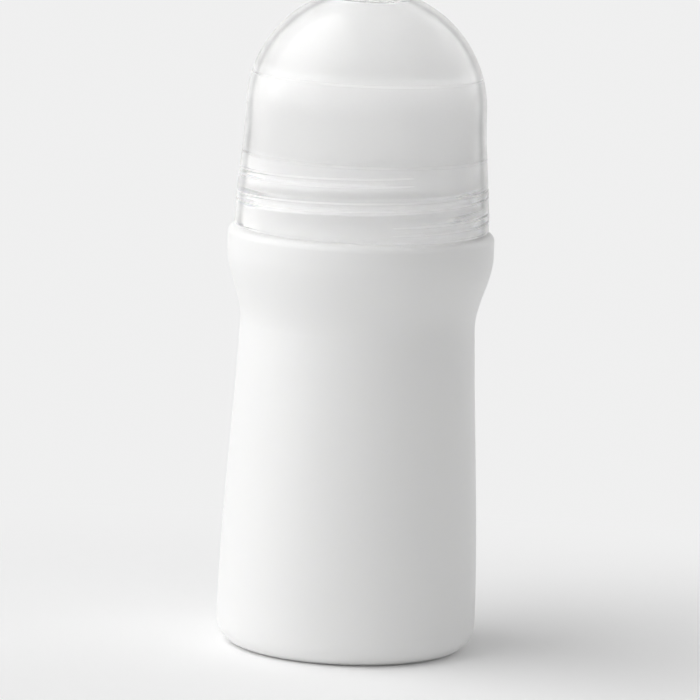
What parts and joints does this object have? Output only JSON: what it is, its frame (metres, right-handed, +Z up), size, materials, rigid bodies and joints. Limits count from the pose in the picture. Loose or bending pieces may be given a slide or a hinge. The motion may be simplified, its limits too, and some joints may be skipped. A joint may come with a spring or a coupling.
{
  "type": "roll-on bottle",
  "caption": "Roll-on bottle with a waisted white body, a ball that turns in a snap-in housing, and a clear domed screw cap.",
  "frame": {"origin": "centre of the foot ring, on the surface the bottle stands on", "axes": "+Z up along the bottle's axis, +X to the right in the picture, -Y towards the camera"},
  "size_m": [0.0444, 0.0444, 0.1104],
  "materials": {
    "bottle_satin_white": "satin",
    "housing_white": "semi gloss",
    "ball_white": "polished",
    "cap_clear": "clear gloss"
  },
  "bodies": {
    "bottle": {"bottle": "bottle_satin_white", "ball_housing": "housing_white"},
    "ball": {"ball_lower_half": "ball_white", "ball_upper_half": "ball_white"},
    "cap": {"cap": "cap_clear"}
  },
  "joints": [
    {"name": "ball_roll", "type": "hinge", "parent": "bottle", "child": "ball", "pos_m": [0, 0, 0.0904], "axis": [1, 0, 0], "continuous": true},
    {"name": "cap_lift", "type": "slide", "parent": "bottle", "child": "cap", "axis": [0, 0, 1], "range_m": [0, 0.045]}
  ]
}
